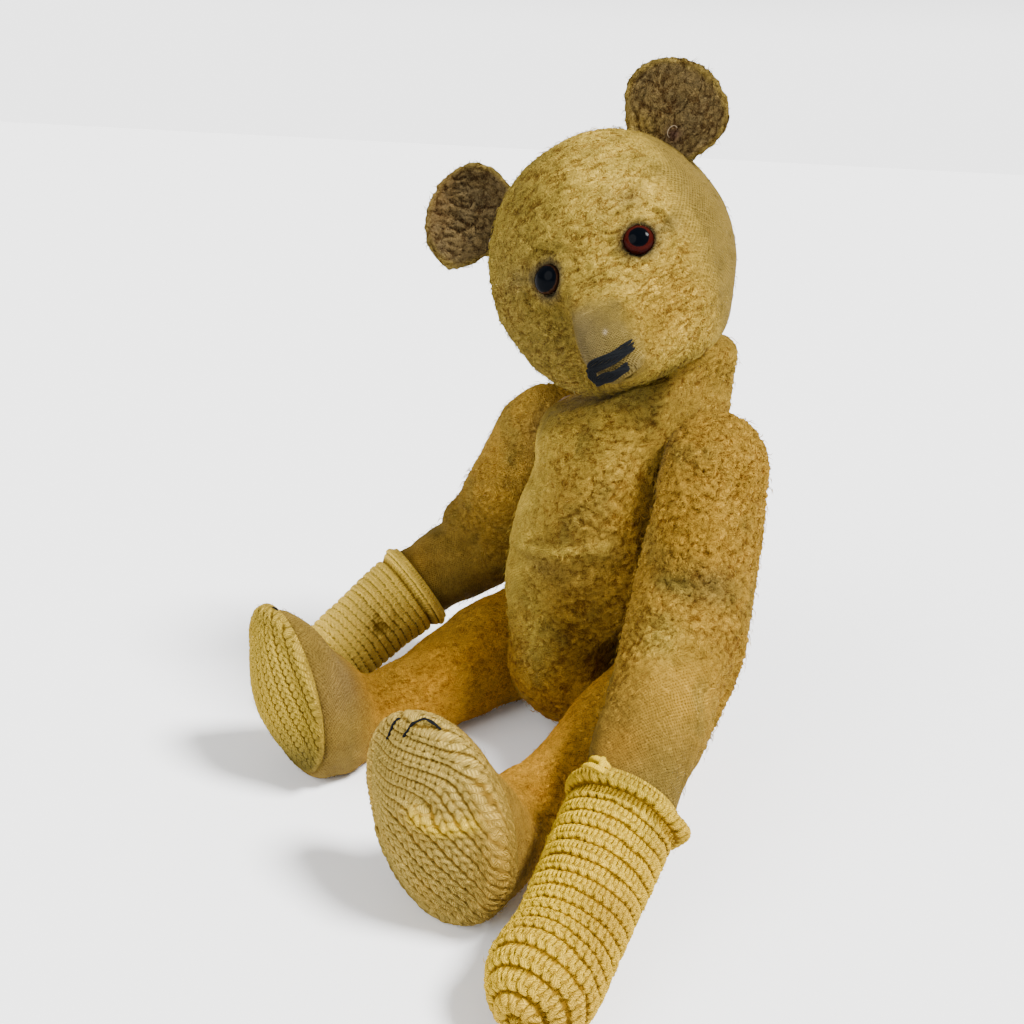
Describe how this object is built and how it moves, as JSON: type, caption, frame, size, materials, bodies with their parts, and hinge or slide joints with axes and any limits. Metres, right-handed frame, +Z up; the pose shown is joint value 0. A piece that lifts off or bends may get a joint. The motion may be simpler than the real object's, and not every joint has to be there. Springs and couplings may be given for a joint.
{
  "type": "jointed teddy bear",
  "caption": "Old jointed mohair teddy bear sitting with its head turned, in crocheted mitts and knitted soles, with worn, bald and soiled pile.",
  "frame": {"origin": "on the flat the bear sits on, under the trunk", "axes": "+Z up, the trunk faces -Y, the bear's left is +X"},
  "size_m": [0.2562, 0.2184, 0.3095],
  "materials": {
    "torso": "worn golden mohair, matted and patchy",
    "head": "worn golden mohair, bald weave at the muzzle and left side",
    "left_ear": "soiled brown mohair",
    "right_ear": "soiled dark brown mohair",
    "left_arm": "worn golden mohair, bald weave near the wrist",
    "right_arm": "worn golden mohair",
    "left_mitt": "crocheted pale yellow cotton, grubby",
    "right_mitt": "crocheted pale yellow cotton, frayed and holed",
    "left_leg": "short worn mohair, stained brown",
    "right_leg": "short worn mohair, stained brown",
    "left_sole": "knitted tan wool, grubby",
    "right_sole": "knitted tan wool, grubby",
    "left_eye": "amber-brown glass with a black pupil",
    "right_eye": "black glass",
    "black_thread": "faded black embroidery thread",
    "joint_disc": "pressed brown board",
    "joint_steel": "dull steel wire and washers"
  },
  "bodies": {
    "trunk": {"torso": "torso", "neck_trunk_disc": "joint_disc", "neck_trunk_washer": "joint_steel", "left_shoulder_trunk_disc": "joint_disc", "left_shoulder_trunk_washer": "joint_steel", "right_shoulder_trunk_disc": "joint_disc", "right_shoulder_trunk_washer": "joint_steel", "left_hip_trunk_disc": "joint_disc", "left_hip_trunk_washer": "joint_steel", "right_hip_trunk_disc": "joint_disc", "right_hip_trunk_washer": "joint_steel"},
    "head_body": {"head": "head", "left_ear": "left_ear", "right_ear": "right_ear", "left_eye": "left_eye", "right_eye": "right_eye", "left_eye_shank": "joint_steel", "right_eye_shank": "joint_steel", "nose_thread": "black_thread", "neck_head_disc": "joint_disc", "neck_head_washer": "joint_steel", "neck_split_pin": "joint_steel"},
    "left_arm_body": {"left_arm": "left_arm", "left_mitt": "left_mitt", "left_shoulder_arm_disc": "joint_disc", "left_shoulder_arm_washer": "joint_steel", "left_shoulder_split_pin": "joint_steel"},
    "left_leg_body": {"left_leg": "left_leg", "left_sole": "left_sole", "left_hip_leg_disc": "joint_disc", "left_hip_leg_washer": "joint_steel", "left_hip_split_pin": "joint_steel", "left_claw_thread_1": "black_thread", "left_claw_thread_2": "black_thread"},
    "right_arm_body": {"right_arm": "right_arm", "right_mitt": "right_mitt", "right_shoulder_arm_disc": "joint_disc", "right_shoulder_arm_washer": "joint_steel", "right_shoulder_split_pin": "joint_steel"},
    "right_leg_body": {"right_leg": "right_leg", "right_sole": "right_sole", "right_hip_leg_disc": "joint_disc", "right_hip_leg_washer": "joint_steel", "right_hip_split_pin": "joint_steel", "right_claw_thread_1": "black_thread"}
  },
  "joints": [
    {"name": "neck_swivel", "type": "hinge", "parent": "trunk", "child": "head_body", "pos_m": [0.0115, -0.001, 0.1835], "axis": [-0.3626, -0.2732, 0.891], "range_deg": [-60, 80]},
    {"name": "left_shoulder", "type": "hinge", "parent": "trunk", "child": "left_arm_body", "pos_m": [0.0385, -0.003, 0.149], "axis": [1, 0, 0], "range_deg": [-75, 50]},
    {"name": "right_shoulder", "type": "hinge", "parent": "trunk", "child": "right_arm_body", "pos_m": [-0.031, -0.003, 0.149], "axis": [1, 0, 0], "range_deg": [-75, 50]},
    {"name": "left_hip", "type": "hinge", "parent": "trunk", "child": "left_leg_body", "pos_m": [0.025, -0.012, 0.033], "axis": [0.9877, 0.1564, 0], "range_deg": [-10, 90]},
    {"name": "right_hip", "type": "hinge", "parent": "trunk", "child": "right_leg_body", "pos_m": [-0.025, -0.005, 0.033], "axis": [1, 0, 0], "range_deg": [-10, 90]}
  ]
}
